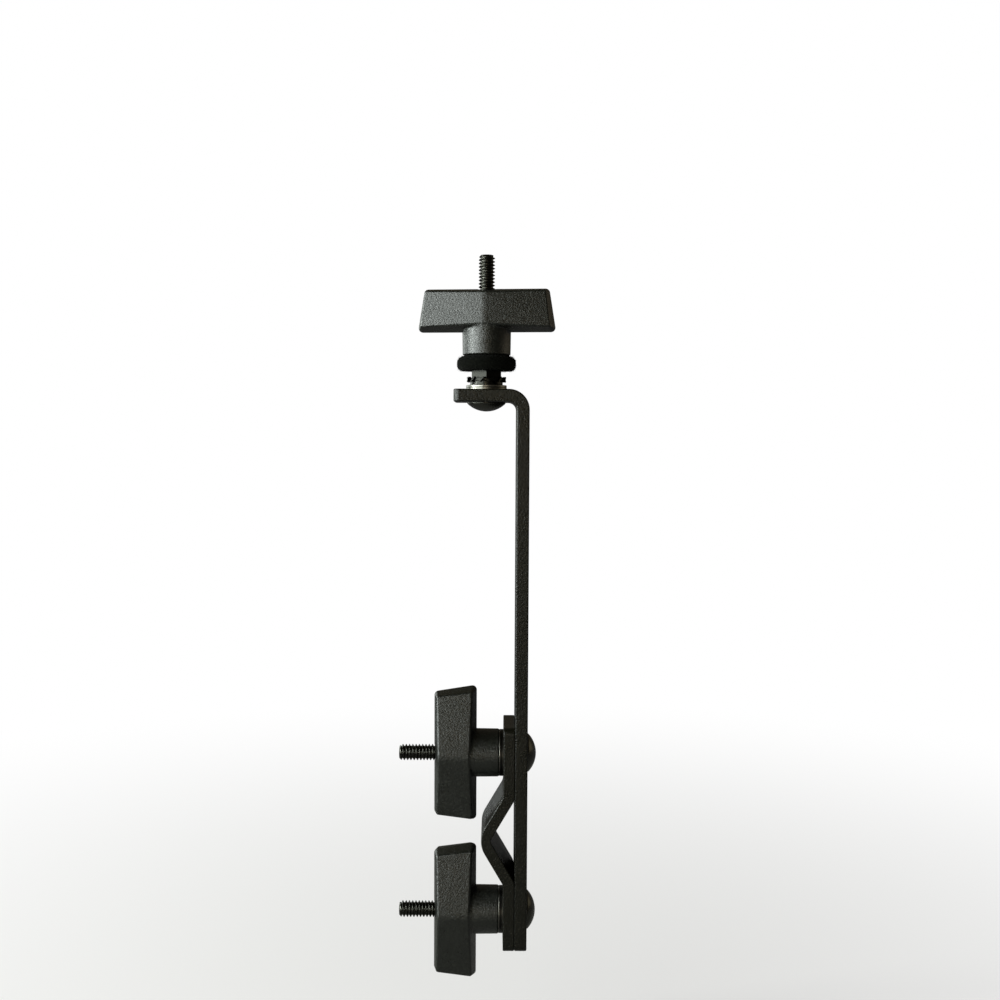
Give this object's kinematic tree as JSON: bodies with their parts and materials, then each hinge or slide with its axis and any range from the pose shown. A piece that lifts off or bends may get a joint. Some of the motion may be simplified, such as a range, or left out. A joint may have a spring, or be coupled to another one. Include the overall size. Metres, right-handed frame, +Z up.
{
  "type": "bar chime holder",
  "caption": "Bent flat-bar bracket that clamps to a stand's tube with a V jaw and wing knobs, and carries a bar chime on an upright threaded stud.",
  "frame": {"origin": "on the bar's inner face, midway between the two clamp bolts, where a clamped tube bears on the bar", "axes": "+Z up the bar to the stud, +Y along a clamped tube, -X out from the bar to the jaw and its knobs"},
  "size_m": [0.0589, 0.0254, 0.2782],
  "materials": {
    "coated_bar": "black satin powder coat with a fine grain",
    "black_bolt": "black zinc on steel, slightly glossy",
    "washer_steel": "black zinc on steel, rubbed bright at the rim",
    "knob_nylon": "fine spark-eroded texture",
    "insert_brass": "turned",
    "felt": "pressed black wool felt"
  },
  "bodies": {
    "arm": {"bracket_arm": "coated_bar", "stud_bolt": "black_bolt", "upper_clamp_bolt": "black_bolt", "lower_clamp_bolt": "black_bolt", "stud_flat_washer": "washer_steel", "stud_spring_washer": "black_bolt", "stud_tooth_washer": "black_bolt", "stud_nut": "black_bolt"},
    "jaw": {"clamp_jaw": "coated_bar", "upper_knob_washer": "washer_steel", "lower_knob_washer": "washer_steel"},
    "upper_knob": {"upper_wing_knob": "knob_nylon", "upper_knob_insert": "insert_brass"},
    "lower_knob": {"lower_wing_knob": "knob_nylon", "lower_knob_insert": "insert_brass"},
    "felt": {"felt_washer": "felt"},
    "stud_knob": {"stud_wing_knob": "knob_nylon", "stud_knob_insert": "insert_brass"}
  },
  "joints": [
    {"name": "jaw_slide", "type": "slide", "parent": "arm", "child": "jaw", "axis": [-1, 0, 0], "range_m": [0, 0.0215]},
    {"name": "upper_knob_turn", "type": "hinge", "parent": "jaw", "child": "upper_knob", "pos_m": [-0.03, 0, 0.0309], "axis": [-1, 0, 0], "range_deg": [0, 6120]},
    {"name": "lower_knob_turn", "type": "hinge", "parent": "jaw", "child": "lower_knob", "pos_m": [-0.03, 0, -0.0309], "axis": [-1, 0, 0], "range_deg": [0, 6120]},
    {"name": "felt_lift", "type": "slide", "parent": "arm", "child": "felt", "axis": [0, 0, 1], "range_m": [0, 0.024]},
    {"name": "stud_knob_turn", "type": "hinge", "parent": "felt", "child": "stud_knob", "pos_m": [-0.01144, 0, 0.2], "axis": [0, 0, 1], "range_deg": [0, 6840]}
  ],
  "couplings": [
    {"joint": "upper_knob_turn", "follows": "jaw_slide", "rad_per_m": 4947.4},
    {"joint": "lower_knob_turn", "follows": "jaw_slide", "rad_per_m": 4947.4},
    {"joint": "stud_knob_turn", "follows": "felt_lift", "rad_per_m": 4947.4}
  ]
}
